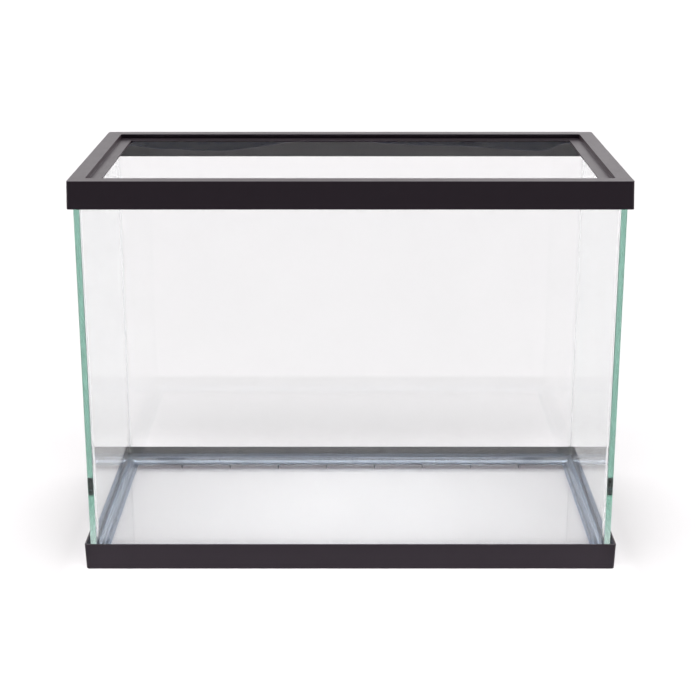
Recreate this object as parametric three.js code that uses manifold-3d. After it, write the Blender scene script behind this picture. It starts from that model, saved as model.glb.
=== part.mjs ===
// Framed glass tank for a small pet. Five glass panes are bonded with silicone, and one moulded frame holds
// them at the top and another at the base. Millimetres, +Z up. The origin is the middle of the footprint, on
// the surface that the base frame stands on, and the front faces -Y.

import * as THREE from 'three';
import { mergeVertices } from 'three/addons/utils/BufferGeometryUtils.js';
import Module from 'manifold-3d';

const wasm = await Module();
wasm.setup();

// Overall sizes, over the widest part of the frames
const tankLength = 616; // along X
const tankWidth = 318; // along Y
const tankHeight = 458; // along Z

// Both frames
const skirtWall = 2.2;
const skirtDraft = 1; // how far a skirt leans in over its frame's height
const outerCornerRadius = 3; // in plan
const innerCornerRadius = 1.5; // in plan

// Top frame. Widths are measured inwards from the skirt's widest edge.
const topFrameHeight = 31;
const rimWidth = 18.8;
const rimThickness = 2;
const stepThickness = 2; // the low wall between the rim and the lid ledge
const lidRecessDepth = 5.5; // from the rim down to the lid ledge
const lidLedgeWidth = 14.2;
const lidLedgeThickness = 2;

// Base frame
const baseFrameHeight = 31;
const webWidth = 16.3; // the web carries the glass
const webUnderside = 5.5; // above the foot
const webThickness = 2;
const ribThickness = 1.6;
const ribPitch = 70; // the most that two ribs stand apart
const ribFootClearance = 1;
const ribWebMargin = 1.5; // from a rib's end to the web's inner edge

// Glass
const glassThickness = 6;
const glassInset = 6.3; // from a skirt's widest edge to the glass behind it
const glassArris = 0.6;
const bondGap = 1.2; // between two panes, and from a pane's edge to a frame

// Silicone and sealant
const sealClearance = 0.3; // between a seal and what it touches
const sealToe = 0.6; // thickness of a seal's free edges
const coveHeight = 10;
const coveWidth = 12.5;
const cornerSealLeg = 4;
const cornerFilmSetback = 0.6; // from the glass corner's outer face
const topSealantHeight = 20;
const baseSealantHeight = 12;
const sealCurveSteps = 6;

// How far a cutting block passes the face that it opens
const cutOverlap = 1;

// Sizes that follow from the ones above
const glassLength = tankLength - 2 * glassInset;
const glassWidth = tankWidth - 2 * glassInset;
const innerLength = glassLength - 2 * glassThickness;
const innerWidth = glassWidth - 2 * glassThickness;
const webTop = webUnderside + webThickness;
const paneBottom = webTop + bondGap;
const paneTop = tankHeight - rimThickness - bondGap;
const floorTop = paneBottom + glassThickness;
const ledgeTop = tankHeight - lidRecessDepth;
const ledgeUnderside = ledgeTop - lidLedgeThickness;
const sealantInset = skirtWall + skirtDraft + sealClearance; // clear of the skirt at any height

// Each side's own frame has X along the run, Y pointing into the tank and Z up. The long panes cover the
// ends of the short ones, which fit between them.
const longSide = { run: tankLength, reach: tankWidth / 2, paneLength: glassLength };
const shortSide = { run: tankWidth, reach: tankLength / 2, paneLength: innerWidth - 2 * bondGap };
const sides = [
  { name: 'front', turn: 0, ...longSide },
  { name: 'right', turn: Math.PI / 2, ...shortSide },
  { name: 'back', turn: Math.PI, ...longSide },
  { name: 'left', turn: -Math.PI / 2, ...shortSide },
];

const framePlastic = { color: 0x1d1b1e, roughness: 0.5, metalness: 0 };
const clearGlass = { color: 0xd8efe8, roughness: 0.05, metalness: 0 };
const clearSilicone = { color: 0xa9b7c4, roughness: 0.3, metalness: 0 };
const beddingSealant = { color: 0x3c4350, roughness: 0.35, metalness: 0 };

const tank = new THREE.Group();

// Adds a named piece to a group, with a material of its own.
function addPiece(parent, name, geometry, finish) {
  const piece = new THREE.Mesh(geometry, new THREE.MeshStandardMaterial(finish));
  piece.name = name;
  parent.add(piece);
  return piece;
}

// A group turned to face one side of the tank.
function sideGroup(side) {
  const group = new THREE.Group();
  group.rotation.z = side.turn;
  tank.add(group);
  return group;
}

// Turns a closed geometry into a solid that can be joined and cut.
function toSolid(geometry) {
  const bare = geometry.index ? geometry.toNonIndexed() : geometry;
  bare.deleteAttribute('normal');
  bare.deleteAttribute('uv');
  const merged = mergeVertices(bare, 1e-4);
  const mesh = new wasm.Mesh({
    numProp: 3,
    vertProperties: new Float32Array(merged.attributes.position.array),
    triVerts: new Uint32Array(merged.index.array),
  });
  return new wasm.Manifold(mesh);
}

// Turns a solid back into a geometry.
function toGeometry(solid) {
  const mesh = solid.getMesh();
  const geometry = new THREE.BufferGeometry();
  geometry.setAttribute('position', new THREE.BufferAttribute(mesh.vertProperties, 3));
  geometry.setIndex(new THREE.BufferAttribute(mesh.triVerts, 1));
  geometry.computeVertexNormals();
  return geometry;
}

// The plan of a frame at a given inset from its widest edge.
function planOutline(inset, radius) {
  const x = tankLength / 2 - inset;
  const y = tankWidth / 2 - inset;
  const outline = new THREE.Shape();
  outline.moveTo(-x + radius, -y);
  outline.lineTo(x - radius, -y);
  outline.absarc(x - radius, -y + radius, radius, -Math.PI / 2, 0);
  outline.lineTo(x, y - radius);
  outline.absarc(x - radius, y - radius, radius, 0, Math.PI / 2);
  outline.lineTo(-x + radius, y);
  outline.absarc(-x + radius, y - radius, radius, Math.PI / 2, Math.PI);
  outline.lineTo(-x, -y + radius);
  outline.absarc(-x + radius, -y + radius, radius, Math.PI, 1.5 * Math.PI);
  return outline;
}

// A solid block between two heights. Its sides lean in by bottomLean below and by topLean above.
function planBlock(inset, radius, bottom, top, bottomLean = 0, topLean = 0) {
  const depth = top - bottom;
  const options = { depth, bevelEnabled: false, curveSegments: 4 };
  const geometry = new THREE.ExtrudeGeometry(planOutline(inset, radius), options);
  const position = geometry.attributes.position;
  for (let i = 0; i < position.count; i += 1) {
    const lean = THREE.MathUtils.lerp(bottomLean, topLean, position.getZ(i) / depth);
    position.setX(i, position.getX(i) - Math.sign(position.getX(i)) * lean);
    position.setY(i, position.getY(i) - Math.sign(position.getY(i)) * lean);
  }
  geometry.translate(0, 0, bottom);
  return toSolid(geometry);
}

// A straight run of one section whose ends are mitred, so that four of them meet round the tank. The
// section's x is the distance in from the skirt's widest edge, and its y is the height.
function mitredRun(section, side) {
  const depth = side.run;
  const options = { depth, bevelEnabled: false, curveSegments: sealCurveSteps };
  const geometry = new THREE.ExtrudeGeometry(section, options);
  const position = geometry.attributes.position;
  for (let i = 0; i < position.count; i += 1) {
    const end = Math.sign(position.getZ(i) - depth / 2);
    const mitre = position.getX(i) + sealClearance;
    position.setZ(i, end * (depth / 2 - mitre));
  }
  const upright = new THREE.Matrix4().makeBasis(
    new THREE.Vector3(0, 1, 0),
    new THREE.Vector3(0, 0, 1),
    new THREE.Vector3(1, 0, 0),
  );
  geometry.applyMatrix4(upright);
  geometry.translate(0, -side.reach, 0);
  return geometry;
}

// A pane of glass with arrised edges, standing in the XZ plane of its side and centred on the origin.
function pane(length, height) {
  const x = length / 2;
  const y = height / 2;
  const outline = new THREE.Shape();
  outline.moveTo(-x, -y);
  outline.lineTo(x, -y);
  outline.lineTo(x, y);
  outline.lineTo(-x, y);
  const geometry = new THREE.ExtrudeGeometry(outline, {
    depth: glassThickness - 2 * glassArris,
    bevelThickness: glassArris,
    bevelSize: glassArris,
    bevelOffset: -glassArris,
    bevelSegments: 1,
  });
  geometry.translate(0, 0, glassArris - glassThickness / 2);
  return geometry;
}

// Top frame: a skirt outside the glass, a rim over its edge, and a step down to a ledge for a lid.
function topFrame() {
  const foot = tankHeight - topFrameHeight;
  const rimUnderside = tankHeight - rimThickness;
  const channelBottom = ledgeUnderside - cutOverlap;
  const top = tankHeight + cutOverlap;
  const wallLean = (skirtDraft * (ledgeUnderside - foot)) / topFrameHeight;
  const block = planBlock(0, outerCornerRadius, foot, tankHeight, 0, skirtDraft);
  const inside = planBlock(skirtWall, innerCornerRadius, foot - cutOverlap, ledgeUnderside, 0, wallLean);
  const channel = planBlock(skirtWall + skirtDraft, innerCornerRadius, channelBottom, rimUnderside);
  const step = planBlock(rimWidth - stepThickness, innerCornerRadius, foot, tankHeight);
  const recess = planBlock(rimWidth, innerCornerRadius, ledgeTop, top);
  const mouth = planBlock(rimWidth + lidLedgeWidth, innerCornerRadius, foot, top);
  return block.subtract(inside).subtract(channel.subtract(step)).subtract(recess).subtract(mouth);
}

// One rib under the base frame's web, sunk half way into the skirt and into the web.
function rib(along, side) {
  const start = skirtDraft + skirtWall / 2;
  const length = webWidth - ribWebMargin - start;
  const height = webUnderside + webThickness / 2 - ribFootClearance;
  const geometry = new THREE.BoxGeometry(ribThickness, length, height);
  geometry.translate(along, start + length / 2 - side.reach, ribFootClearance + height / 2);
  geometry.rotateZ(side.turn);
  return toSolid(geometry);
}

// Base frame: a skirt outside the glass, a web under its edge, and ribs that stiffen the web.
function baseFrame() {
  const top = baseFrameHeight + cutOverlap;
  const block = planBlock(0, outerCornerRadius, 0, baseFrameHeight, skirtDraft, 0);
  const upper = planBlock(skirtWall, innerCornerRadius, webTop, top, skirtDraft, 0);
  const lower = planBlock(skirtWall + skirtDraft, innerCornerRadius, -cutOverlap, webUnderside);
  const opening = planBlock(webWidth, innerCornerRadius, -cutOverlap, top);
  let frame = block.subtract(upper).subtract(lower).subtract(opening);
  for (const side of sides) {
    const ribbedRun = side.run - 2 * webWidth;
    const bays = Math.ceil(ribbedRun / ribPitch);
    for (let i = 0; i <= bays; i += 1) {
      frame = frame.add(rib((i / bays - 0.5) * ribbedRun, side));
    }
  }
  return frame;
}

// Section of a silicone cove: a bond film beside the floor glass, and a concave bead above it.
function coveSection() {
  const innerFace = glassInset + glassThickness;
  const wall = innerFace + sealClearance;
  const toe = innerFace + coveWidth;
  const bead = floorTop + sealClearance;
  const crest = floorTop + coveHeight;
  const xRadius = toe - wall - sealToe;
  const yRadius = crest - bead - sealToe;
  const outline = new THREE.Shape();
  outline.moveTo(wall, paneBottom);
  outline.lineTo(innerFace + bondGap - sealClearance, paneBottom);
  outline.lineTo(innerFace + bondGap - sealClearance, bead);
  outline.lineTo(toe, bead);
  outline.absellipse(toe, crest, xRadius, yRadius, -Math.PI / 2, -Math.PI, true);
  outline.lineTo(wall, crest);
  return outline;
}

// Section of a sealant run in the top frame: a strip outside the glass and a cap over its edge.
function topSealantSection() {
  const stripEnd = glassInset - sealClearance;
  const capEnd = glassInset + glassThickness;
  const roof = tankHeight - rimThickness - sealClearance;
  const outline = new THREE.Shape();
  outline.moveTo(sealantInset, roof - topSealantHeight);
  outline.lineTo(stripEnd, roof - topSealantHeight);
  outline.lineTo(stripEnd, paneTop + sealClearance);
  outline.lineTo(capEnd, paneTop + sealClearance);
  outline.lineTo(capEnd, roof);
  outline.lineTo(sealantInset, roof);
  return outline;
}

// Section of a sealant run in the base frame: a strip outside the glass and a bed on the web.
function baseSealantSection() {
  const stripEnd = glassInset - sealClearance;
  const bedEnd = webWidth - sealClearance;
  const bed = webTop + sealClearance;
  const outline = new THREE.Shape();
  outline.moveTo(sealantInset, bed);
  outline.lineTo(bedEnd, bed);
  outline.lineTo(bedEnd, paneBottom - sealClearance);
  outline.lineTo(stripEnd, paneBottom - sealClearance);
  outline.lineTo(stripEnd, bed + baseSealantHeight);
  outline.lineTo(sealantInset, bed + baseSealantHeight);
  return outline;
}

// An upright prism at one corner of the tank. Its points are distances in from the two inner glass faces.
function cornerPrism(points, corner, bottom, top) {
  const corners = points.map(([x, y]) => new THREE.Vector2(-corner.x * x, -corner.y * y));
  const options = { depth: top - bottom, bevelEnabled: false };
  const geometry = new THREE.ExtrudeGeometry(new THREE.Shape(corners), options);
  geometry.translate(0, 0, bottom);
  return toSolid(geometry);
}

// An upright seal where a short pane meets a long one. The film fills the joint over the panes' whole height,
// and the bead runs from the floor coves to the lid ledge.
function cornerSeal(corner) {
  const near = sealClearance;
  const far = sealClearance + cornerSealLeg;
  const radius = cornerSealLeg - sealToe;
  const filmEnd = cornerFilmSetback - glassThickness;
  const filmFar = bondGap - sealClearance;
  const film = [[filmEnd, near], [near, near], [near, filmFar], [filmEnd, filmFar]];
  const curve = new THREE.EllipseCurve(far, far, radius, radius, -Math.PI / 2, -Math.PI, true);
  const curvePoints = curve.getPoints(sealCurveSteps).map((point) => [point.x, point.y]);
  const bead = [[near, near], [far, near], ...curvePoints, [near, far]];
  const beadBottom = floorTop + coveHeight + sealClearance;
  const beadTop = ledgeUnderside - sealClearance;
  const filmSolid = cornerPrism(film, corner, paneBottom, paneTop);
  return filmSolid.add(cornerPrism(bead, corner, beadBottom, beadTop));
}

addPiece(tank, 'top_frame', toGeometry(topFrame()), framePlastic);
addPiece(tank, 'base_frame', toGeometry(baseFrame()), framePlastic);

const floorGlass = pane(innerLength - 2 * bondGap, innerWidth - 2 * bondGap);
const floorPane = addPiece(tank, 'floor_pane', floorGlass, clearGlass);
floorPane.position.z = paneBottom + glassThickness / 2;

for (const side of sides) {
  const group = sideGroup(side);
  const glass = pane(side.paneLength, paneTop - paneBottom);
  const wall = addPiece(group, `${side.name}_pane`, glass, clearGlass);
  wall.rotation.x = Math.PI / 2;
  wall.position.set(0, glassInset + glassThickness / 2 - side.reach, (paneTop + paneBottom) / 2);
  addPiece(group, `floor_seal_${side.name}`, mitredRun(coveSection(), side), clearSilicone);
  addPiece(group, `top_sealant_${side.name}`, mitredRun(topSealantSection(), side), beddingSealant);
  addPiece(group, `base_sealant_${side.name}`, mitredRun(baseSealantSection(), side), beddingSealant);
}

const corners = [
  { name: 'front_left', x: -1, y: -1 },
  { name: 'front_right', x: 1, y: -1 },
  { name: 'back_left', x: -1, y: 1 },
  { name: 'back_right', x: 1, y: 1 },
];

for (const corner of corners) {
  const geometry = toGeometry(cornerSeal(corner));
  const seal = addPiece(tank, `corner_seal_${corner.name}`, geometry, clearSilicone);
  seal.position.set((corner.x * innerLength) / 2, (corner.y * innerWidth) / 2, 0);
}

export default tank;
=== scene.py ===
"""A framed glass tank: its finished pieces and materials, and a pale studio round them. Metres, +Z up."""

import logging
import math
from collections.abc import Callable, Iterator
from dataclasses import dataclass
from enum import Enum

import bmesh
import bpy
from mathutils import Matrix, Vector, noise


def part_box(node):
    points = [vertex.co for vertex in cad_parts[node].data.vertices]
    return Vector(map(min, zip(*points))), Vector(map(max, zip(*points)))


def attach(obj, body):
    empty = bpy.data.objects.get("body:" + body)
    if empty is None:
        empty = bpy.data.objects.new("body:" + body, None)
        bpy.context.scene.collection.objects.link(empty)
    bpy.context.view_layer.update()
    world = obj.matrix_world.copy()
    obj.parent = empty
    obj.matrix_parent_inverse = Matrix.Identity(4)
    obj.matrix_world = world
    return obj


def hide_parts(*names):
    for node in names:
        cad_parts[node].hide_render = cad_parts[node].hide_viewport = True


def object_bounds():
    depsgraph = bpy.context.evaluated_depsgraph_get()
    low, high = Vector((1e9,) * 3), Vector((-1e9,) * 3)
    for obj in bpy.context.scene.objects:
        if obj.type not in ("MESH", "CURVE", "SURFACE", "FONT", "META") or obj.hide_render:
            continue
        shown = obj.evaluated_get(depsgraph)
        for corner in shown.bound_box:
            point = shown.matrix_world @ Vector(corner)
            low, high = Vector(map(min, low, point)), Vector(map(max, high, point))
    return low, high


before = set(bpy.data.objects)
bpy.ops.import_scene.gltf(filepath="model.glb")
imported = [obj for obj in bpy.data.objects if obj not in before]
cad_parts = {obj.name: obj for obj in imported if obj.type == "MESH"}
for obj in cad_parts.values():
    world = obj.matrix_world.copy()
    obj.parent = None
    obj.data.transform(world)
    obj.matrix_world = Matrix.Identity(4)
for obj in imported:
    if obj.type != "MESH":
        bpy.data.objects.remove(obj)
CAD_LOW, CAD_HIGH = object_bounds()
LOG = logging.getLogger("glass_tank")
MM = 0.001
MERGE_DISTANCE = 1e-6

# Edges that turn more than these many degrees stay sharp
PLASTIC_ANGLE = 30.0
GLASS_ANGLE = 15.0
SILICONE_ANGLE = 50.0

# Attributes of the meshes that the materials read
GROUND = "ground"
BONDED = "bonded"
# marks the sealant's free edge for its painted highlight
PAINTED_EDGE_HIGHLIGHT = "feather"

# How far a ground face hides the clear glass: the bottom edges fully, so that they alone carry a painted
# glow
GROUND_TOP = 0.85
GROUND_BOTTOM = 1.0
GLOW_SLOPE = 6.6

Colour = tuple[float, float, float]
Triple = tuple[float, float, float]
BLACK: Colour = (0.0, 0.0, 0.0)
ORIGIN: Triple = (0.0, 0.0, 0.0)


class Slot(Enum):
    """Material slots of the record."""

    FRAME = "frame_plastic"
    GLASS = "clear_glass"
    SILICONE = "clear_silicone"
    SEALANT = "bedding_sealant"


class Side(Enum):
    """The four sides of the tank, each with its turn about Z from the front."""

    FRONT = 0
    RIGHT = 90
    BACK = 180
    LEFT = 270

    @property
    def label(self) -> str:
        """The side's name as the nodes use it."""
        return self.name.lower()

    @property
    def turn(self) -> Matrix:
        """The rotation that takes the front side to this one."""
        return Matrix.Rotation(math.radians(self.value), 4, "Z")

    @property
    def endwise(self) -> bool:
        """Whether this is one of the two short sides."""
        return self in (Side.LEFT, Side.RIGHT)


# ---------------------------------------------------------------- node trees


class Value:
    """A number socket that Python arithmetic can combine into Math nodes."""

    def __init__(self, graph: "Graph", socket: bpy.types.NodeSocket) -> None:
        """Wraps a socket of a graph's tree that gives a number."""
        self.graph = graph
        self.socket = socket

    def _math(self, operation: str, first: "Value | float", second: "Value | float") -> "Value":
        """Adds one Math node and returns its result."""
        node = self.graph.node("ShaderNodeMath", {"operation": operation}, {0: first, 1: second})
        return Value(self.graph, node.outputs[0])

    def __add__(self, other: "Value | float") -> "Value":
        """Sum."""
        return self._math("ADD", self, other)

    def __radd__(self, other: float) -> "Value":
        """Sum with a number on the left."""
        return self._math("ADD", other, self)

    def __sub__(self, other: "Value | float") -> "Value":
        """Difference."""
        return self._math("SUBTRACT", self, other)

    def __rsub__(self, other: float) -> "Value":
        """Difference from a number on the left."""
        return self._math("SUBTRACT", other, self)

    def __mul__(self, other: "Value | float") -> "Value":
        """Product."""
        return self._math("MULTIPLY", self, other)

    def __rmul__(self, other: float) -> "Value":
        """Product with a number on the left."""
        return self._math("MULTIPLY", other, self)

    def size(self) -> "Value":
        """The value without its sign."""
        return self._math("ABSOLUTE", self, 0.0)

    def clamped(self) -> "Value":
        """The value held between 0 and 1."""
        node = self.graph.node("ShaderNodeClamp", {}, {"Value": self})
        return Value(self.graph, node.outputs["Result"])


class Graph:
    """Builds a node tree for a material or a world."""

    def __init__(self, tree: bpy.types.NodeTree) -> None:
        """Clears the tree and builds in it."""
        self.tree = tree
        self.tree.nodes.clear()

    def node(self, kind: str, settings: dict | None = None, inputs: dict | None = None) -> bpy.types.Node:
        """Adds one node.

        Args:
            kind: the node's type.
            settings: its properties, set first.
            inputs: socket name or index to a number, a colour, a socket or a Value.

        Returns:
            The node.
        """
        node = self.tree.nodes.new(kind)
        for name, value in (settings or {}).items():
            setattr(node, name, value)
        for key, value in (inputs or {}).items():
            source = value.socket if isinstance(value, Value) else value
            if isinstance(source, bpy.types.NodeSocket):
                self.tree.links.new(source, node.inputs[key])
            else:
                node.inputs[key].default_value = source
        return node

    def position(self, scale: Triple = (1.0, 1.0, 1.0)) -> bpy.types.NodeSocket:
        """Object coordinates in metres.

        Args:
            scale: how much denser a pattern on them is along each axis.

        Returns:
            The socket that gives them.
        """
        place = self.node("ShaderNodeTexCoord").outputs["Object"]
        return self.node("ShaderNodeMapping", {}, {"Vector": place, "Scale": scale}).outputs["Vector"]

    def attribute(self, name: str) -> Value:
        """A number that the mesh carries."""
        return Value(self, self.node("ShaderNodeAttribute", {"attribute_name": name}).outputs["Fac"])

    def grain(
        self,
        size: float,
        detail: float = 2.0,
        stretch: Triple = (1.0, 1.0, 1.0),
        rough: float = 0.5,
    ) -> Value:
        """A noise pattern.

        Args:
            size: the size of its grains in metres.
            detail: how many finer octaves it has.
            stretch: how much denser it is along each axis.
            rough: the finer octaves' strength.

        Returns:
            A value from 0 to 1.
        """
        inputs = {
            "Vector": self.position(stretch),
            "Scale": 1.0 / size,
            "Detail": detail,
            "Roughness": rough,
        }
        return Value(self, self.node("ShaderNodeTexNoise", {}, inputs).outputs["Fac"])

    def blend(
        self,
        factor: Value,
        low: Colour | bpy.types.NodeSocket,
        high: Colour | bpy.types.NodeSocket,
    ) -> bpy.types.NodeSocket:
        """Mixes two colours.

        Args:
            factor: how much of the second there is.
            low: the first colour, or the socket that gives it.
            high: the second.

        Returns:
            The socket that gives the mix.
        """
        inputs: dict = {0: factor}
        for index, colour in ((6, low), (7, high)):
            inputs[index] = colour if isinstance(colour, bpy.types.NodeSocket) else (*colour, 1.0)
        return self.node("ShaderNodeMix", {"data_type": "RGBA"}, inputs).outputs[2]

    def vector(
        self,
        operation: str,
        first: Triple | bpy.types.NodeSocket,
        second: Triple | bpy.types.NodeSocket = ORIGIN,
    ) -> bpy.types.NodeSocket:
        """Adds one Vector Math node and returns its vector."""
        node = self.node("ShaderNodeVectorMath", {"operation": operation}, {0: first, 1: second})
        return node.outputs["Vector"]

    def measure(
        self,
        operation: str,
        first: Triple | bpy.types.NodeSocket,
        second: Triple | bpy.types.NodeSocket = ORIGIN,
    ) -> Value:
        """Adds one Vector Math node and returns its number."""
        node = self.node("ShaderNodeVectorMath", {"operation": operation}, {0: first, 1: second})
        return Value(self, node.outputs["Value"])

    def bump(self, height: Value, depth: float, strength: float = 1.0) -> bpy.types.NodeSocket:
        """A normal from a height of 0 to 1 that stands for depth metres."""
        inputs = {"Height": height, "Distance": depth, "Strength": strength}
        return self.node("ShaderNodeBump", {}, inputs).outputs["Normal"]

    def principled(self, settings: dict) -> bpy.types.NodeSocket:
        """A Principled shader from socket names and their values."""
        return self.node("ShaderNodeBsdfPrincipled", {}, settings).outputs["BSDF"]

    def mix(
        self, factor: Value, first: bpy.types.NodeSocket, second: bpy.types.NodeSocket
    ) -> bpy.types.NodeSocket:
        """Mixes two shaders by a value."""
        return self.node("ShaderNodeMixShader", {}, {0: factor, 1: first, 2: second}).outputs[0]

    def surface(self, shader: bpy.types.NodeSocket, volume: bpy.types.NodeSocket | None = None) -> None:
        """Ends the tree.

        Args:
            shader: the surface.
            volume: what fills the inside, if anything does.
        """
        links = {"Surface": shader}
        if volume is not None:
            links["Volume"] = volume
        self.node("ShaderNodeOutputMaterial", {}, links)


def new_material(name: str) -> tuple[bpy.types.Material, Graph]:
    """Makes a node material.

    Args:
        name: the material's name.

    Returns:
        The empty material and its builder.
    """
    material = bpy.data.materials.new(name)
    material.use_nodes = True
    return material, Graph(material.node_tree)


# ------------------------------------------------------------------ finishes


@dataclass(frozen=True)
class MouldedPlastic:
    """Black injection-moulded plastic with an eroded-mould grain."""

    name: str
    dark: Colour = (0.0036, 0.0023, 0.0037)
    pale: Colour = (0.0070, 0.0046, 0.0072)
    sheen_tint: Colour = (0.46, 0.39, 0.46)
    bloom: float = 0.06
    bloom_tint: Colour = (1.0, 0.70, 0.82)
    ior: float = 1.5
    roughness: float = 0.33
    roughness_spread: float = 0.16
    cloud_spread: float = 0.08
    cloud_share: float = 0.6
    grain_size: float = 1.7 * MM
    cloud_size: float = 38 * MM
    grain_depth: float = 0.07 * MM

    def material(self) -> bpy.types.Material:
        """Builds the material.

        Returns:
            The material.
        """
        material, graph = new_material(self.name)
        clouds = graph.grain(self.cloud_size, 3.0)
        grain = graph.grain(self.grain_size, 3.0, rough=0.6)
        tone = (clouds * self.cloud_share + grain * (1.0 - self.cloud_share)).clamped()
        rough = self.roughness + (grain - 0.5) * self.roughness_spread + (clouds - 0.5) * self.cloud_spread
        shader = graph.principled(
            {
                "Base Color": graph.blend(tone, self.dark, self.pale),
                "Roughness": rough,
                "IOR": self.ior,
                "Specular Tint": (*self.sheen_tint, 1.0),
                "Sheen Weight": self.bloom,
                "Sheen Tint": (*self.bloom_tint, 1.0),
                "Normal": graph.bump(grain, self.grain_depth),
            }
        )
        graph.surface(shader)
        return material


@dataclass(frozen=True)
class FloatGlass:
    """Clear float glass, green through its length, whose meshes say which faces are ground or wetted; its
    ground bottom edges carry a painted glow.
    """

    name: str
    ior: float = 1.52
    tint: Colour = (0.214, 0.662, 0.510)
    density: float = 5.0
    clean: Colour = (0.948, 0.936, 0.944)
    dusty: Colour = (0.924, 0.912, 0.920)
    film_size: float = 60 * MM
    frosting: Colour = (0.72, 0.80, 0.77)
    frosting_roughness: float = 0.7
    # colour of the painted glow that the ground bottom edges emit
    painted_edge_glow: Colour = (0.50, 0.53, 0.52)

    def material(self) -> bpy.types.Material:
        """Builds the material, with its colour in the volume.

        Returns:
            The material.
        """
        material, graph = new_material(self.name)
        inside = graph.node(
            "ShaderNodeVolumeAbsorption", {}, {"Color": (*self.tint, 1.0), "Density": self.density}
        )
        ground = graph.attribute(GROUND)
        film = graph.blend(graph.grain(self.film_size), self.clean, self.dusty)
        # share of the painted glow: only the ground bottom edges emit it
        bottom = ((ground - GROUND_TOP) * GLOW_SLOPE).clamped()
        polished = {"Base Color": film, "Roughness": 0.0, "IOR": self.ior, "Transmission Weight": 1.0}
        frosted = {
            "Base Color": (*self.frosting, 1.0),
            "Roughness": self.frosting_roughness,
            "IOR": self.ior,
            "Emission Color": graph.blend(bottom, BLACK, self.painted_edge_glow),
            "Emission Strength": 1.0,
        }
        clear = graph.principled(polished)
        wetted = graph.principled(polished | {"Specular Tint": (*BLACK, 1.0)})
        faces = graph.mix(graph.attribute(BONDED), clear, wetted)
        graph.surface(graph.mix(ground, faces, graph.principled(frosted)), inside.outputs["Volume"])
        return material


@dataclass(frozen=True)
class CuredSilicone:
    """Translucent silicone, tooled smooth by a finger."""

    name: str
    clear: Colour = (0.56, 0.68, 0.84)
    milky: Colour = (0.74, 0.84, 0.97)
    transmission: float = 0.90
    ior: float = 1.41
    roughness: float = 0.04
    streak_spread: float = 0.06
    streak_size: float = 4 * MM
    ripple_size: float = 14 * MM
    ripple_depth: float = 0.25 * MM
    ripple_strength: float = 0.6
    shine: float = 1.0

    def material(self) -> bpy.types.Material:
        """Builds the material.

        Returns:
            The material.
        """
        material, graph = new_material(self.name)
        ripple = graph.grain(self.ripple_size)
        streak = graph.grain(self.streak_size)
        shader = graph.principled(
            {
                "Base Color": graph.blend(ripple, self.clear, self.milky),
                "Roughness": self.roughness + streak * self.streak_spread,
                "IOR": self.ior,
                "Transmission Weight": self.transmission,
                "Specular Tint": (self.shine, self.shine, self.shine, 1.0),
                "Normal": graph.bump(ripple, self.ripple_depth, self.ripple_strength),
            }
        )
        graph.surface(shader)
        return material


@dataclass(frozen=True)
class WetSealant:
    """Clear sealant squeezed against black plastic, dark where it is deep, with a painted highlight along
    its free edge.
    """

    name: str
    deep: Colour = (0.004, 0.010, 0.036)
    smeared: Colour = (0.014, 0.022, 0.062)
    # colour of the painted highlight along the free edge
    painted_edge_highlight: Colour = (0.20, 0.20, 0.27)
    shine: Colour = (0.35, 0.35, 0.40)
    ior: float = 1.41
    roughness: float = 0.16
    roughness_spread: float = 0.14
    smear_size: float = 22 * MM
    smear_stretch: Triple = (1.0, 1.0, 2.5)
    smear_depth: float = 0.3 * MM
    smear_strength: float = 0.5

    def material(self) -> bpy.types.Material:
        """Builds the material.

        Returns:
            The material.
        """
        material, graph = new_material(self.name)
        smear = graph.grain(self.smear_size, 3.0, self.smear_stretch)
        body = graph.blend(smear, self.deep, self.smeared)
        shader = graph.principled(
            {
                "Base Color": graph.blend(graph.attribute(PAINTED_EDGE_HIGHLIGHT), body, self.painted_edge_highlight),
                "Roughness": self.roughness + smear * self.roughness_spread,
                "IOR": self.ior,
                "Specular Tint": (*self.shine, 1.0),
                "Normal": graph.bump(smear, self.smear_depth, self.smear_strength),
            }
        )
        graph.surface(shader)
        return material


@dataclass(frozen=True)
class Patch:
    """A rectangle of the floor with soft edges."""

    centre: Triple
    half: Triple
    reach: tuple[float, float]

    def amount(self, graph: Graph, place: bpy.types.NodeSocket) -> Value:
        """How far a place belongs to the patch.

        Args:
            graph: the material's builder.
            place: the place in metres.

        Returns:
            One inside the rectangle, fading to nothing over its reach along each axis.
        """
        away = graph.vector("SUBTRACT", place, self.centre)
        away = graph.vector("SUBTRACT", graph.vector("ABSOLUTE", away), self.half)
        away = graph.vector("MAXIMUM", away, ORIGIN)
        away = graph.vector("MULTIPLY", away, (1.0 / self.reach[0], 1.0 / self.reach[1], 0.0))
        amount = (1.0 - graph.measure("LENGTH", away)).clamped()
        return amount * amount


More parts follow.
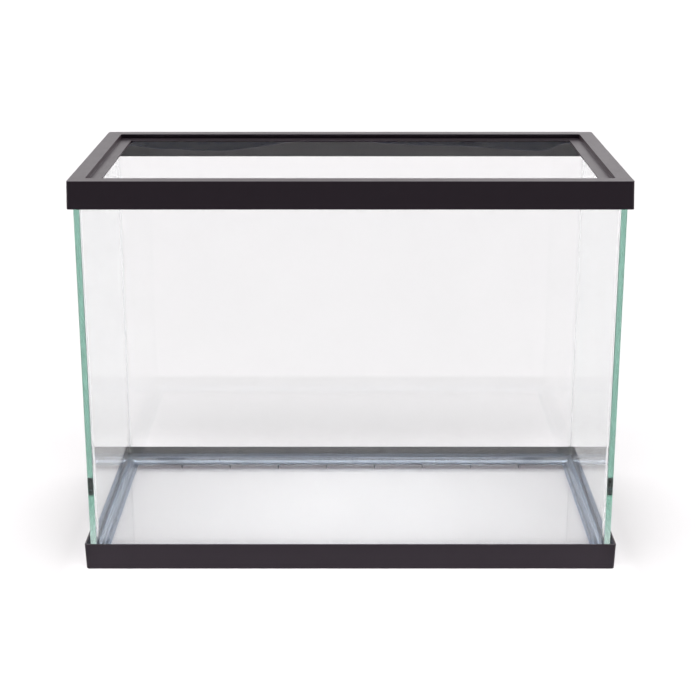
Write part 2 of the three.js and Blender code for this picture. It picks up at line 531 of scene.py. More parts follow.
@dataclass(frozen=True)
class PaintedLightFloor:
    """Matt pale studio paper with painted light: lighter and glowing under the tank, and lighter before it.
    """

    name: str
    far: Colour = (0.520, 0.517, 0.519)
    # painted light: the paper turns this much lighter under the tank and a little before it
    near: Colour = (0.940, 0.936, 0.938)
    # painted glow under the tank: emission that stands in for light
    lift: Colour = (0.18, 0.155, 0.175)
    painted_light_under_tank: Patch = Patch((0.0, 0.0, 0.0), (0.290, 0.152, 1.0), (0.05, 0.20))
    painted_light_before_tank: Patch = Patch((0.0, -0.20, 0.0), (0.75, 0.33, 1.0), (0.25, 0.20))
    painted_light_before_share: float = 0.15
    fibre_size: float = 90 * MM
    fibre_share: float = 0.02
    roughness: float = 0.9

    def material(self) -> bpy.types.Material:
        """Builds the material.

        Returns:
            The material.
        """
        material, graph = new_material(self.name)
        fibres = graph.grain(self.fibre_size)
        place = graph.position()
        under = self.painted_light_under_tank.amount(graph, place)
        before = self.painted_light_before_tank.amount(graph, place)
        pale = (under + before * self.painted_light_before_share + fibres * self.fibre_share).clamped()
        shader = graph.principled(
            {
                "Base Color": graph.blend(pale, self.far, self.near),
                "Roughness": self.roughness,
                # painted glow under the tank
                "Emission Color": graph.blend(under, BLACK, self.lift),
                "Emission Strength": 1.0,
            }
        )
        graph.surface(shader)
        return material


# ------------------------------------------------------------ mesh building


def wave(place: float, seed: float, length: float) -> float:
    """Smooth noise from about -1 to 1 along a run.

    Args:
        place: metres along the run.
        seed: which curve.
        length: metres from one swell to the next.

    Returns:
        The curve's value there.
    """
    return noise.noise(Vector((place / length, seed * 7.31, seed * 2.17)))


def round_edges(
    bm: bmesh.types.BMesh, edges: list[bmesh.types.BMEdge], size: float, segments: int
) -> None:
    """Rounds some edges of a bmesh.

    Args:
        bm: the mesh.
        edges: its edges to round.
        size: how far the rounding reaches from the edge.
        segments: how many faces it has.
    """
    bmesh.ops.bevel(
        bm,
        geom=edges,
        offset=size,
        offset_type="OFFSET",
        segments=segments,
        profile=0.5,
        affect="EDGES",
        clamp_overlap=True,
        material=-1,
    )


def finish_mesh(
    bm: bmesh.types.BMesh,
    name: str,
    materials: list[bpy.types.Material],
    smooth_angle: float = PLASTIC_ANGLE,
) -> bpy.types.Object:
    """Turns a bmesh into an object at the origin.

    Args:
        bm: the mesh, which is freed.
        name: the object's name.
        materials: its material slots.
        smooth_angle: edges that turn more than this many degrees stay sharp.

    Returns:
        The object.
    """
    bmesh.ops.remove_doubles(bm, verts=bm.verts, dist=MERGE_DISTANCE)
    bmesh.ops.recalc_face_normals(bm, faces=bm.faces)
    mesh = bpy.data.meshes.new(name)
    bm.to_mesh(mesh)
    bm.free()
    mesh.shade_smooth()
    mesh.set_sharp_from_angle(angle=math.radians(smooth_angle))
    for material in materials:
        mesh.materials.append(material)
    piece = bpy.data.objects.new(name, mesh)
    bpy.context.scene.collection.objects.link(piece)
    even = piece.modifiers.new("even shading", "WEIGHTED_NORMAL")
    even.mode = "FACE_AREA"
    even.keep_sharp = True
    return piece


class Loft:
    """Skins a row of closed loops that all have the same number of points."""

    def __init__(self) -> None:
        """Starts an empty mesh that remembers each vertex's place in its loop and its row."""
        self.bm = bmesh.new()
        self.place = self.bm.verts.layers.int.new("place")
        self.row = self.bm.verts.layers.int.new("row")
        self.feather = self.bm.verts.layers.float.new(PAINTED_EDGE_HIGHLIGHT)
        self.rows = 0
        self.edges: list[bmesh.types.BMEdge] = []
        self.first: list[bmesh.types.BMEdge] = []
        self.first_points: list[Vector] = []

    def carry(
        self, points: list[Vector], row: int | None = None, thin: frozenset[int] = frozenset()
    ) -> None:
        """Adds the next loop and the band of faces that leads to it.

        Args:
            points: the loop's points in order.
            row: its number, when it isn't simply the next.
            thin: the places in the loop where the material thins out, which get a painted highlight.
        """
        if not self.edges:
            verts = [self.bm.verts.new(point) for point in points]
            for place, vert in enumerate(verts):
                vert[self.place] = place
            self.edges = [self.bm.edges.new(pair) for pair in zip(verts, verts[1:] + verts[:1])]
            self.first = self.edges
            self.first_points = points
        else:
            grown = bmesh.ops.extrude_edge_only(self.bm, edges=self.edges)["geom"]
            self.edges = [item for item in grown if isinstance(item, bmesh.types.BMEdge)]
            verts = [item for item in grown if isinstance(item, bmesh.types.BMVert)]
            for vert in verts:
                vert.co = points[vert[self.place]]
        for vert in verts:
            vert[self.row] = self.rows if row is None else row
            vert[self.feather] = 1.0 if vert[self.place] in thin else 0.0
        self.rows += 1

    def join_ends(self) -> None:
        """Leads the last loop back to the first, so the skin is closed like a tyre."""
        self.carry(self.first_points, 0)
        bmesh.ops.remove_doubles(self.bm, verts=self.bm.verts, dist=MERGE_DISTANCE)

    def cap_ends(self) -> None:
        """Fills the first and last loops."""
        for edges in (self.first, self.edges):
            bmesh.ops.contextual_create(self.bm, geom=edges)

    def round_rows(self, rows: list[int], size: float, segments: int = 3) -> None:
        """Rounds the edges that run along some rows.

        Args:
            rows: the rows' numbers.
            size: how far the rounding reaches from the edge.
            segments: how many faces it has.
        """
        edges = []
        for edge in self.bm.edges:
            near, far = (vert[self.row] for vert in edge.verts)
            if near == far and near in rows:
                edges.append(edge)
        round_edges(self.bm, edges, size, segments)


@dataclass(frozen=True)
class ProfilePoint:
    """A corner of a frame's section."""

    inset: float
    height: float
    radius: float
    fillet: float = 0.0


@dataclass(frozen=True)
class Plan:
    """A rectangle in plan, whose loops run round it at any inset."""

    half_length: float
    half_width: float
    corner_steps: int = 5
    step: float = 12 * MM

    def corners(self, inset: float, radius: float) -> Iterator[tuple[Vector, float]]:
        """The plan's four corner arcs.

        Args:
            inset: metres in from the rectangle.
            radius: the arcs' radius.

        Returns:
            Each arc's centre and the angle at which it starts, in turn.
        """
        x = self.half_length - inset - radius
        y = self.half_width - inset - radius
        yield Vector((x, -y, 0)), -math.pi / 2
        yield Vector((x, y, 0)), 0.0
        yield Vector((-x, y, 0)), math.pi / 2
        yield Vector((-x, -y, 0)), math.pi

    def loop(self, inset: float, height: float, radius: float) -> list[Vector]:
        """Points round the plan at one inset and height.

        Args:
            inset: metres in from the rectangle.
            height: metres up.
            radius: the corners' radius.

        Returns:
            The points in order, as many for any inset.
        """
        arcs = []
        for centre, start in self.corners(inset, radius):
            arc = []
            for i in range(self.corner_steps + 1):
                angle = start + math.pi / 2 * i / self.corner_steps
                arc.append(centre + Vector((math.cos(angle), math.sin(angle), 0)) * radius)
            arcs.append(arc)
        points = []
        sizes = (self.half_width, self.half_length, self.half_width, self.half_length)
        for i, arc in enumerate(arcs):
            points += arc
            target = arcs[(i + 1) % 4][0]
            bays = max(2, round(2 * sizes[i] / self.step))
            points += [arc[-1].lerp(target, j / bays) for j in range(1, bays)]
        for point in points:
            point.z = height
        return points


def sweep(
    plan: Plan,
    profile: list[ProfilePoint],
    shape: Callable[[Vector, int], Vector] | None = None,
) -> Loft:
    """Sweeps a closed section round a plan, and rounds the corners that have a fillet.

    Args:
        plan: the rectangle to go round.
        profile: the section's corners in order.
        shape: moves a point of the numbered corner, for a hand-made edge.

    Returns:
        The skin.
    """
    loft = Loft()
    for index, corner in enumerate(profile):
        points = plan.loop(corner.inset, corner.height, corner.radius)
        if shape is not None:
            points = [shape(point, index) for point in points]
        loft.carry(points)
    loft.join_ends()
    for size in sorted({corner.fillet for corner in profile} - {0.0}, reverse=True):
        loft.round_rows([i for i, corner in enumerate(profile) if corner.fillet == size], size)
    return loft


# -------------------------------------------------------------------- pieces


@dataclass
class TankSizes:
    """Sizes that the pieces share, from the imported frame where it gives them."""

    length: float = 0.0
    width: float = 0.0
    glass: float = 0.0
    inner_length: float = 0.0
    inner_width: float = 0.0
    pane_bottom: float = 0.0
    pane_top: float = 0.0
    floor_top: float = 0.0
    top_foot: float = 0.0

    def __post_init__(self) -> None:
        """Reads the frame."""
        low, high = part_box("top_frame")
        self.length, self.width = (high - low).xy
        self.top_foot = low.z
        front_low, front_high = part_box("front_pane")
        back_low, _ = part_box("back_pane")
        right_low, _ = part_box("right_pane")
        self.glass = front_high.y - front_low.y
        self.inner_length = 2 * right_low.x
        self.inner_width = back_low.y - front_high.y
        self.pane_bottom, self.pane_top = front_low.z, front_high.z
        self.floor_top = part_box("floor_pane")[1].z

    @property
    def plan(self) -> Plan:
        """The frames' widest outline."""
        return Plan(self.length / 2, self.width / 2)

    @property
    def glass_inset(self) -> float:
        """From the frames' widest outline to the glass."""
        return (self.length - self.inner_length) / 2 - self.glass


@dataclass
class Piece:
    """A finished piece that rides on the tank and stands for CAD nodes."""

    sizes: TankSizes

    def place(self, piece: bpy.types.Object, nodes: list[str], slot: Slot) -> bpy.types.Object:
        """Ties an object to the frame.

        Args:
            piece: the finished object.
            nodes: the CAD nodes that it stands for.
            slot: its material slot in the record; not used.

        Returns:
            The object.
        """
        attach(piece, "root")
        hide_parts(*nodes)
        LOG.info("%s: %d faces, stands for %s", piece.name, len(piece.data.polygons), ", ".join(nodes))
        return piece


@dataclass
class TopFrame(Piece):
    """The moulded rim with its lid ledge."""

    wall: float = 2.2 * MM
    draft: float = 1.0 * MM
    rim: float = 18.8 * MM
    rim_thickness: float = 2.0 * MM
    step: float = 2.0 * MM
    recess: float = 5.5 * MM
    ledge: float = 14.2 * MM
    ledge_thickness: float = 2.0 * MM
    outer_radius: float = 3 * MM
    rim_radius: float = 3.2 * MM
    ledge_radius: float = 2.5 * MM
    channel_radius: float = 2.0 * MM
    inner_radius: float = 1.5 * MM
    skirt_reach: float = 0.5 * MM
    least_facing: float = 0.1

    def profile(self) -> list[ProfilePoint]:
        """Works out the moulding's section.

        Returns:
            Its corners, from the skirt's foot round by the rim and the ledge.
        """
        low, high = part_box("top_frame")
        ledge_top = high.z - self.recess
        ledge_foot = ledge_top - self.ledge_thickness
        roof = high.z - self.rim_thickness
        edge = self.rim + self.ledge
        return [
            ProfilePoint(0, low.z, self.outer_radius, 0.4 * MM),
            ProfilePoint(self.draft, high.z, self.outer_radius, 0.45 * MM),
            ProfilePoint(self.rim, high.z, self.rim_radius, 0.4 * MM),
            ProfilePoint(self.rim, ledge_top, self.rim_radius, 0.3 * MM),
            ProfilePoint(edge, ledge_top, self.ledge_radius, 0.25 * MM),
            ProfilePoint(edge, ledge_foot, self.ledge_radius, 0.3 * MM),
            ProfilePoint(self.rim - self.step, ledge_foot, self.channel_radius),
            ProfilePoint(self.rim - self.step, roof, self.channel_radius),
            ProfilePoint(self.wall + self.draft, roof, self.inner_radius),
            ProfilePoint(self.wall, low.z, self.inner_radius, 0.3 * MM),
        ]

    def build(self, material: bpy.types.Material, inside: bpy.types.Material) -> None:
        """Builds the piece.

        Args:
            material: the plastic.
            inside: a duller copy of the plastic for the long skirts' inner faces, whose lighter grey is
                painted light.
        """
        loft = sweep(self.sizes.plan, self.profile())
        piece = finish_mesh(loft.bm, "top_frame_moulding", [material, inside])
        wall = self.wall + self.draft + self.skirt_reach
        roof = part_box("top_frame")[1].z - 2 * self.rim_thickness
        # The long skirts' inward faces take the lighter grey copy of the plastic, as painted light
        for face in piece.data.polygons:
            near_skirt = abs(face.center.y) > self.sizes.width / 2 - wall
            inward = face.center.y * face.normal.y < -self.least_facing
            if near_skirt and inward and face.center.z < roof:
                face.material_index = 1
        self.place(piece, ["top_frame"], Slot.FRAME)


@dataclass
class BaseFrame(Piece):
    """The moulded base with the web that carries the glass."""

    wall: float = 2.2 * MM
    draft: float = 1.0 * MM
    web: float = 16.3 * MM
    web_foot: float = 5.5 * MM
    web_thickness: float = 2.0 * MM
    rib: float = 1.6 * MM
    rib_pitch: float = 70 * MM
    rib_margin: float = 1.5 * MM
    rib_foot: float = 1.0 * MM
    outer_radius: float = 3 * MM
    inner_radius: float = 1.5 * MM
    web_radius: float = 2.0 * MM

    def profile(self) -> list[ProfilePoint]:
        """Works out the moulding's section.

        Returns:
            Its corners, from the skirt's foot round by its top edge and the web.
        """
        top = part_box("base_frame")[1].z
        web_top = self.web_foot + self.web_thickness
        lean = self.draft * (1 - web_top / top)
        return [
            ProfilePoint(self.draft, 0, self.outer_radius, 1.0 * MM),
            ProfilePoint(0, top, self.outer_radius, 0.6 * MM),
            ProfilePoint(self.wall, top, self.inner_radius, 0.5 * MM),
            ProfilePoint(self.wall + lean, web_top, self.inner_radius),
            ProfilePoint(self.web, web_top, self.web_radius, 0.4 * MM),
            ProfilePoint(self.web, self.web_foot, self.web_radius, 0.4 * MM),
            ProfilePoint(self.wall + self.draft, self.web_foot, self.inner_radius),
            ProfilePoint(self.wall + self.draft, 0, self.inner_radius, 0.4 * MM),
        ]

    def ribs(self) -> bpy.types.Object:
        """Makes the ribs under the web.

        Returns:
            One object that a boolean can join to the moulding.
        """
        bm = bmesh.new()
        start = self.draft + self.wall / 2
        length = self.web - self.rib_margin - start
        height = self.web_foot + self.web_thickness / 2 - self.rib_foot
        for side in Side:
            run = self.sizes.width if side.endwise else self.sizes.length
            reach = (self.sizes.length if side.endwise else self.sizes.width) / 2
            ribbed = run - 2 * self.web
            bays = math.ceil(ribbed / self.rib_pitch)
            for i in range(bays + 1):
                along = (i / bays - 0.5) * ribbed
                centre = Vector((along, start + length / 2 - reach, self.rib_foot + height / 2))
                size = Matrix.Diagonal((self.rib, length, height, 1.0))
                bmesh.ops.create_cube(bm, size=1.0, matrix=side.turn @ Matrix.Translation(centre) @ size)
        return finish_mesh(bm, "base_ribs", [])

    def build(self, material: bpy.types.Material) -> None:
        """Builds the piece.

        Args:
            material: the plastic.
        """
        loft = sweep(self.sizes.plan, self.profile())
        piece = finish_mesh(loft.bm, "base_frame_moulding", [material])
        ribs = self.ribs()
        join = piece.modifiers.new("join ribs", "BOOLEAN")
        join.operation = "UNION"
        join.solver = "EXACT"
        join.object = ribs
        piece.modifiers["even shading"].show_viewport = False
        graph = bpy.context.evaluated_depsgraph_get()
        joined = bpy.data.meshes.new_from_object(piece.evaluated_get(graph))
        piece.modifiers.remove(join)
        piece.modifiers["even shading"].show_viewport = True
        piece.data = joined
        bpy.data.objects.remove(ribs)
        joined.shade_smooth()
        joined.set_sharp_from_angle(angle=math.radians(PLASTIC_ANGLE))
        self.place(piece, ["base_frame"], Slot.FRAME)


@dataclass
class GlassPane(Piece):
    """A pane of glass with a ground arris along every edge."""

    node: str = "front_pane"
    arris: float = 0.6 * MM
    least_tilt: float = 0.3
    least_facing: float = 0.03

    def build(self, glass: bpy.types.Material) -> None:
        """Builds the piece.

        Args:
            glass: the glass.
        """
        low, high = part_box(self.node)
        bm = bmesh.new()
        size = Matrix.Diagonal((*(high - low), 1.0))
        bmesh.ops.create_cube(bm, size=1.0, matrix=Matrix.Translation((low + high) / 2) @ size)
        round_edges(bm, list(bm.edges), self.arris, 2)
        self.score(bm, (-self.sizes.inner_length / 2, 0, 0), (1, 0, 0))
        self.score(bm, (self.sizes.inner_length / 2, 0, 0), (1, 0, 0))
        self.score(bm, (0, 0, self.sizes.top_foot), (0, 0, 1))
        piece = finish_mesh(bm, f"{self.node}_glass", [glass], GLASS_ANGLE)
        ground = piece.data.attributes.new(GROUND, "FLOAT", "FACE")
        bonded = piece.data.attributes.new(BONDED, "FLOAT", "FACE")
        for face, dull, wet in zip(piece.data.polygons, ground.data, bonded.data):
            dull.value = self.dullness(face.normal)
            wet.value = 1.0 if self.is_bonded(face) else 0.0
        self.place(piece, [self.node], Slot.GLASS)

    @staticmethod
    def score(bm: bmesh.types.BMesh, place: Triple, normal: Triple) -> None:
        """Splits the faces along a plane, so that each part can be dressed by itself.

        Args:
            bm: the pane's mesh.
            place: a point of the plane.
            normal: the plane's direction.
        """
        geometry = list(bm.verts) + list(bm.edges) + list(bm.faces)
        bmesh.ops.bisect_plane(bm, geom=geometry, plane_co=place, plane_no=normal)

    def dullness(self, normal: Vector) -> float:
        """How far a face is ground.

        Args:
            normal: the face's normal.

        Returns:
            Nothing for a polished face, or for the floor pane, whose edges lie in silicone.
        """
        if self.node == "floor_pane" or abs(normal.z) < self.least_tilt:
            return 0.0
        return GROUND_TOP if normal.z > 0 else GROUND_BOTTOM

    def is_bonded(self, face: bpy.types.MeshPolygon) -> bool:
        """Whether a face is wetted by silicone, and so reflects nothing.

        Args:
            face: a face of the finished pane.

        Returns:
            True at an upright joint, and outside the glass within the top frame.
        """
        outward = face.normal.x * face.center.x + face.normal.y * face.center.y > self.least_facing
        if outward and face.center.z > self.sizes.top_foot:
            return True
        if self.node in ("left_pane", "right_pane"):
            return abs(face.normal.y) > self.least_tilt
        inward = face.normal.y * face.center.y < -self.least_facing
        return inward and abs(face.center.x) > self.sizes.inner_length / 2


@dataclass
class FloorCove(Piece):
    """The silicone bead tooled round the floor, one continuous piece."""

    width: float = 12.5 * MM
    height: float = 10 * MM
    clearance: float = 0.3 * MM
    bond: float = 1.2 * MM
    toe: float = 0.35 * MM
    curve_steps: int = 8
    unevenness: float = 0.55 * MM
    toe_swell: float = 55 * MM
    crest_swell: float = 80 * MM
    film_radius: float = 0.4 * MM
    toe_radius: float = 6 * MM
    crest_radius: float = 1 * MM
    corner_steps: int = 6
    step: float = 6 * MM

    @property
    def first_curved(self) -> int:
        """The number of the section's first corner that a finger touches."""
        return 3

    def profile(self) -> list[ProfilePoint]:
        """Works out the section.

        Returns:
            Its corners: a film beside the floor glass, and a concave bead above it.
        """
        sizes = self.sizes
        wall = sizes.glass_inset + sizes.glass + self.clearance
        film = sizes.glass_inset + sizes.glass + self.bond - self.clearance
        toe = sizes.glass_inset + sizes.glass + self.width
        bead = sizes.floor_top + self.clearance
        crest = sizes.floor_top + self.height
        across = toe - wall - self.toe
        up = crest - bead - self.toe
        points = [
            ProfilePoint(wall, sizes.pane_bottom, self.film_radius),
            ProfilePoint(film, sizes.pane_bottom, self.film_radius),
            ProfilePoint(film, bead, self.film_radius),
            ProfilePoint(toe, bead, self.toe_radius),
        ]
        for i in range(self.curve_steps + 1):
            angle = math.pi / 2 * i / self.curve_steps
            inset = toe - across * math.sin(angle)
            height = crest - up * math.cos(angle)
            radius = self.toe_radius - (self.toe_radius - self.crest_radius) * math.sin(angle)
            points.append(ProfilePoint(inset, height, radius))
        points.append(ProfilePoint(wall, crest, self.film_radius))
        return points

    def tooled(self, profile: list[ProfilePoint], point: Vector, index: int) -> Vector:
        """Lets the bead's toe and crest wander a little, as a finger leaves them.

        Args:
            profile: the section.
            point: a point of the swept bead.
            index: the number of its corner in the section.

        Returns:
            The moved point.
        """
        if index < self.first_curved:
            return point
        sizes = self.sizes
        around = math.atan2(point.y / sizes.width, point.x / sizes.length)
        place = around * sizes.length / 2
        share = (profile[index].inset - profile[-1].inset) / self.width
        lean = Vector((-point.x / sizes.length, -point.y / sizes.width, 0))
        if abs(lean.x) > abs(lean.y):
            inward = Vector((math.copysign(1, lean.x), 0, 0))
        else:
            inward = Vector((0, math.copysign(1, lean.y), 0))
        swell = wave(place, 1.0, self.toe_swell) * self.unevenness * share
        lift = wave(place, 2.0, self.crest_swell) * self.unevenness * (1 - share)
        moved = point + inward * min(swell, 0.0)
        if index > self.first_curved:
            moved.z += min(lift, 0.0) * (1 - share)
        return moved

    def build(self, material: bpy.types.Material) -> None:
        """Builds the piece.

        Args:
            material: the silicone.
        """
        profile = self.profile()
        sizes = self.sizes
        plan = Plan(sizes.length / 2, sizes.width / 2, self.corner_steps, self.step)
        loft = sweep(plan, profile, lambda point, index: self.tooled(profile, point, index))
        piece = finish_mesh(loft.bm, "floor_cove", [material], SILICONE_ANGLE)
        nodes = [f"floor_seal_{side.label}" for side in Side]
        self.place(piece, nodes, Slot.SILICONE)


@dataclass
class CornerSeal(Piece):
    """An upright silicone seal where two panes meet."""

    across: str = "front"
    along: str = "left"
    leg: float = 4 * MM
    clearance: float = 0.3 * MM
    bond: float = 1.2 * MM
    toe: float = 0.3 * MM
    setback: float = 0.6 * MM
    curve_steps: int = 5
    step: float = 9 * MM
    least_radius: float = 0.05 * MM
    usual_share: float = 0.8
    share_spread: float = 0.18
    swell: float = 60 * MM

    def section(self, height: float, crest: float) -> list[Vector]:
        """Points of the section at one height, from the film's outer end round the bead.

        Args:
            height: metres up.
            crest: the bead's leg there.

        Returns:
            Distances in from the two inner glass faces.
        """
        near = self.clearance
        film = self.bond - self.clearance
        end = self.setback - self.sizes.glass
        reach = near + crest
        radius = max(crest - self.toe, self.least_radius)
        points = [
            Vector((end, film, height)),
            Vector((end, near, height)),
            Vector((near, near, height)),
            Vector((reach, near, height)),
        ]
        for i in range(self.curve_steps + 1):
            angle = math.pi / 2 * i / self.curve_steps
            x = reach - radius * math.sin(angle)
            y = reach - radius * math.cos(angle)
            points.append(Vector((x, y, height)))
        points += [Vector((near, reach, height)), Vector((near, film, height))]
        return points

    def build(self, material: bpy.types.Material) -> None:
        """Builds the piece.

        Args:
            material: the silicone.
        """
        node = f"corner_seal_{self.across}_{self.along}"
        low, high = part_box(node)
        sx = -1 if self.along == "left" else 1
        sy = -1 if self.across == "front" else 1
        corner = Vector((sx * self.sizes.inner_length / 2, sy * self.sizes.inner_width / 2, 0))
        stations = round((high.z - low.z) / self.step)
        seed = 3.0 + sx + 0.5 * sy
        loft = Loft()
        for i in range(stations + 1):
            height = low.z + (high.z - low.z) * i / stations
            leg = self.leg * (self.usual_share + self.share_spread * wave(height, seed, self.swell))
            points = self.section(height, min(leg, self.leg))
            placed = [corner + Vector((-sx * p.x, -sy * p.y, p.z)) for p in points]
            loft.carry(placed)
        loft.cap_ends()
        piece = finish_mesh(loft.bm, f"{node}_bead", [material], SILICONE_ANGLE)
        self.place(piece, [node], Slot.SILICONE)


class SealantHeight(Enum):
    """Which frame a sealant run bonds."""

    TOP = "top"
    BASE = "base"


Knots = tuple[tuple[float, float], ...]

# The rear run's free edge: millimetres along it, and how many millimetres it stands back there
REAR_SWELL: Knots = (
    (-278, 8.0),
    (-241, -1.3),
    (-120, 5.0),
    (43, 12.0),
    (173, -1.8),
    (235, 0.5),
    (278, 5.0),
)


@dataclass
class SealantRun(Piece):
    """A run of sealant between the glass and a frame, whose free edge wanders up and down."""

    level: SealantHeight = SealantHeight.TOP
    side: Side = Side.FRONT
    edge_knots: Knots = ()
    film: float = 0.6 * MM
    feather: float = 0.9 * MM
    step: float = 5 * MM
    clearance: float = 0.3 * MM
    overhang: float = 3.4 * MM
    ripple: float = 0.6 * MM
    ripple_length: float = 24 * MM
    setback: float = 3 * MM
    setback_spread: float = 1.3
    setback_length: float = 170 * MM

    def free_edge(self, along: float) -> float:
        """How far the free edge stands back from the node's own edge.

        Args:
            along: metres from the run's middle.

        Returns:
            Metres, towards the bonded edge.
        """
        seed = 11.0 + 3.0 * list(Side).index(self.side)
        ripple = self.ripple * wave(along, seed, self.ripple_length)
        if not self.edge_knots:
            swell = self.setback_spread * wave(along, seed, self.setback_length)
            return ripple + self.setback * (1.0 + swell)
        knots = [(place * MM, back * MM) for place, back in self.edge_knots]
        for (start, low), (end, high) in zip(knots, knots[1:]):
            if start <= along <= end:
                share = (along - start) / (end - start)
                return ripple + low + (high - low) * (0.5 - 0.5 * math.cos(math.pi * share))
        return ripple + (knots[0][1] if along < knots[0][0] else knots[-1][1])

    def build(self, material: bpy.types.Material) -> None:
        """Builds the piece.

        Args:
            material: the sealant.
        """
        node = f"{self.level.value}_sealant_{self.side.label}"
        low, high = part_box(node)
        if self.side.endwise:
            run, cap = high.y - low.y, high.x - low.x
            reach = max(abs(low.x), abs(high.x))
            half = self.sizes.length / 2
        else:
            run, cap = high.x - low.x, high.y - low.y
            reach = max(abs(low.y), abs(high.y))
            half = self.sizes.width / 2
        loft = Loft()
        stations = round(run / self.step)
        for i in range(stations + 1):
            along = (i / stations - 0.5) * run
            outline = self.section(half - reach, cap, low.z, high.z, self.free_edge(along))
            points = []
            for inset, height in outline:
                limit = run / 2 - (inset - half + reach)
                points.append(Vector((max(-limit, min(limit, along)), inset - half, height)))
            # the free edge's first three points get the painted highlight
            loft.carry(points, thin=frozenset({0, 1, 2}))
        loft.cap_ends()
        bmesh.ops.transform(loft.bm, matrix=self.side.turn, verts=loft.bm.verts)
        piece = finish_mesh(loft.bm, f"{node}_run", [material], SILICONE_ANGLE)
        self.place(piece, [node], Slot.SEALANT)

    def section(
        self, skirt: float, cap: float, low: float, high: float, back: float
    ) -> list[tuple[float, float]]:
        """The section at one place along the run.

        Args:
            skirt: inset of the face beside the skirt.
            cap: width of the part at the glass's edge.
            low: lowest height.
            high: greatest height.
            back: how far the free edge stands back.

        Returns:
            Insets and heights, from the free edge round by the glass's edge.
        """
        strip = self.sizes.glass_inset - self.clearance
        top = self.level is SealantHeight.TOP
        free, closed, up = (low, high, 1) if top else (high, low, -1)
        free += up * max(back, -self.overhang if top else 0.0)
        return [
            (strip - 0.1 * MM, free + up * self.feather),
            (skirt + 0.15 * MM, free + up * 0.3 * self.feather),
            (skirt, free),
            (skirt, closed),
            (skirt + cap, closed),
            (skirt + cap, closed - up * self.film),
            (strip, closed - up * self.film),
            (strip, free + up * 1.5 * self.feather),
        ]


# -------------------------------------------------------------------- studio


@dataclass
class Studio:
    """Camera, floor and light."""

    camera_distance: float = 1.6497
    camera_height: float = 0.7927
    camera_pitch: float = 16.873
    lens: float = 79.97
    sensor: float = 36.0
    shift_x: float = -0.0005
    shift_y: float = -0.0305
    floor_radius: float = 14.0
    floor_drop: float = 0.0002
    front_light: float = 0.12
    back_light: float = 1.20
    back_slope: float = 0.95
    back_start: float = 0.35
    panel_light: float = 5.4
    panel_aim: Triple = (0.0, -0.19, 0.982)
    panel_edge: float = 0.79
    panel_softness: float = 8.0
    gap_light: float = 0.30
    gap_place: float = -0.04
    gap_slope: float = 7.0
    gap_height: float = 0.165
    gap_rise: float = 8.0
    light_tint: Colour = (1.0, 0.985, 0.992)

    def camera(self) -> None:
        """Adds the camera in front of the tank, looking down at it."""
        data = bpy.data.cameras.new("camera")
        data.lens = self.lens
        data.sensor_width = self.sensor
        data.shift_x = self.shift_x
        data.shift_y = self.shift_y
        data.clip_end = 100.0
        camera = bpy.data.objects.new("camera", data)
        camera.location = (0, CAD_LOW.y - self.camera_distance, self.camera_height)
        camera.rotation_euler = (math.radians(90 - self.camera_pitch), 0, 0)
        bpy.context.scene.collection.objects.link(camera)
        bpy.context.scene.camera = camera

    def floor(self, material: bpy.types.Material) -> None:
        """Adds the floor.

        Args:
            material: its paper.
        """
        bm = bmesh.new()
        bmesh.ops.create_circle(bm, cap_ends=True, segments=96, radius=self.floor_radius)
        floor = finish_mesh(bm, "studio_floor", [material])
        floor.location.z = -self.floor_drop

    def world(self) -> None:
        """Adds the soft light: a bright panel overhead, pale behind, dim on the camera's side."""
        world = bpy.data.worlds.new("studio")
        bpy.context.scene.world = world
        world.use_nodes = True
        graph = Graph(world.node_tree)
        direction = graph.node("ShaderNodeTexCoord").outputs["Generated"]
        axes = graph.node("ShaderNodeSeparateXYZ", {}, {0: direction})
        across = Value(graph, axes.outputs["X"])
        depth = Value(graph, axes.outputs["Y"])
        up = Value(graph, axes.outputs["Z"])
        behind = (depth * self.back_slope + self.back_start).clamped()
        off_gap = (across - self.gap_place).size() * self.gap_slope + (up - self.gap_height) * self.gap_rise
        lit = behind * (self.gap_light + (1.0 - self.gap_light) * off_gap.clamped())
        facing = graph.measure("DOT_PRODUCT", direction, self.panel_aim)
        overhead = ((facing - self.panel_edge) * self.panel_softness).clamped()
        level = self.front_light + (self.back_light - self.front_light) * lit + self.panel_light * overhead
        inputs = {"Color": (*self.light_tint, 1.0), "Strength": level}
        background = graph.node("ShaderNodeBackground", {}, inputs)
        graph.node("ShaderNodeOutputWorld", {}, {"Surface": background.outputs[0]})

    def build(self, floor_material: bpy.types.Material) -> None:
        """Builds the light and the floor.

        Args:
            floor_material: the floor's paper.
        """
        scene = bpy.context.scene
        scene.view_settings.view_transform = "Standard"
        scene.cycles.max_bounces = 40
        scene.cycles.glossy_bounces = 32
        scene.cycles.transmission_bounces = 32
        self.world()
        self.floor(floor_material)


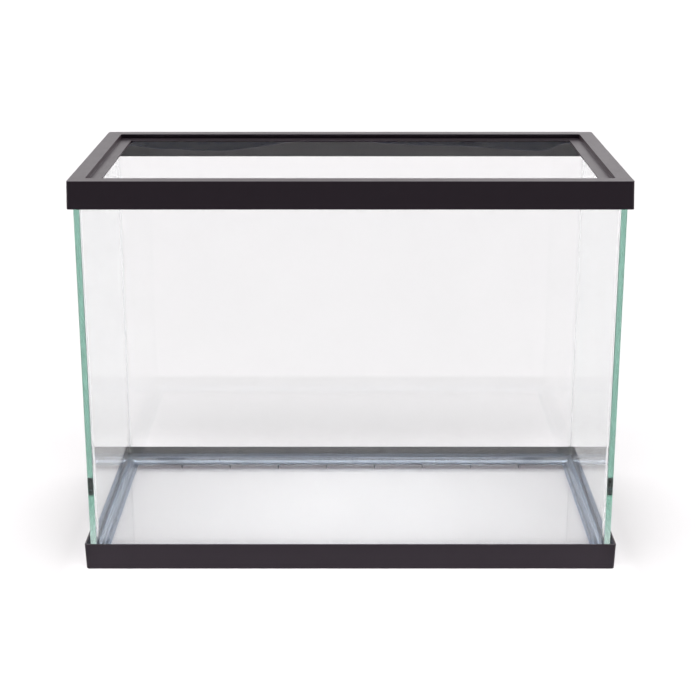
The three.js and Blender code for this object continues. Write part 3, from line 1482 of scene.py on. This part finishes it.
def main() -> None:
    """Builds the camera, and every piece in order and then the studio."""
    logging.basicConfig(level=logging.INFO, format="%(name)s: %(message)s")
    studio = Studio()
    studio.camera()
    sizes = TankSizes()
    plastic = MouldedPlastic("black_moulded_plastic").material()
    satin_plastic = MouldedPlastic("satin_moulded_plastic", sheen_tint=(0.65, 0.57, 0.66)).material()
    # The long skirts' inner faces get a grey copy of the black plastic, lighter as painted light
    painted_light_plastic = MouldedPlastic(
        "painted_light_moulded_plastic",
        dark=(0.15, 0.14, 0.15),
        pale=(0.20, 0.188, 0.20),
        roughness=0.55,
    ).material()
    end_glass = FloatGlass("clear_float_glass").material()
    rear_glass = FloatGlass(
        "dusty_float_glass",
        clean=(0.902, 0.890, 0.898),
        dusty=(0.882, 0.870, 0.878),
    ).material()
    front_glass = FloatGlass(
        "wiped_float_glass",
        clean=(0.985, 0.976, 0.982),
        dusty=(0.965, 0.956, 0.962),
    ).material()
    floor_glass = FloatGlass(
        "clean_float_glass",
        clean=(1.0, 0.998, 1.0),
        dusty=(0.99, 0.988, 0.99),
    ).material()
    silicone = CuredSilicone("tooled_silicone").material()
    thin_silicone = CuredSilicone(
        "thin_silicone",
        clear=(0.975, 0.98, 0.985),
        milky=(0.99, 0.99, 0.99),
        transmission=1.0,
        roughness=0.0,
        shine=0.1,
    ).material()
    sealant = WetSealant("wet_sealant").material()
    TopFrame(sizes).build(plastic, painted_light_plastic)
    BaseFrame(sizes).build(satin_plastic)
    GlassPane(sizes, "front_pane").build(front_glass)
    GlassPane(sizes, "back_pane").build(rear_glass)
    for node in ("left_pane", "right_pane"):
        GlassPane(sizes, node).build(end_glass)
    GlassPane(sizes, "floor_pane").build(floor_glass)
    FloorCove(sizes).build(silicone)
    for across in ("front", "back"):
        for along in ("left", "right"):
            CornerSeal(sizes, across, along).build(thin_silicone)
    for level in SealantHeight:
        for side in Side:
            knots = REAR_SWELL if (level, side) == (SealantHeight.TOP, Side.BACK) else ()
            SealantRun(sizes, level, side, knots).build(sealant)
    studio.build(PaintedLightFloor("floor_with_painted_light").material())


if __name__ == "__main__":
    main()
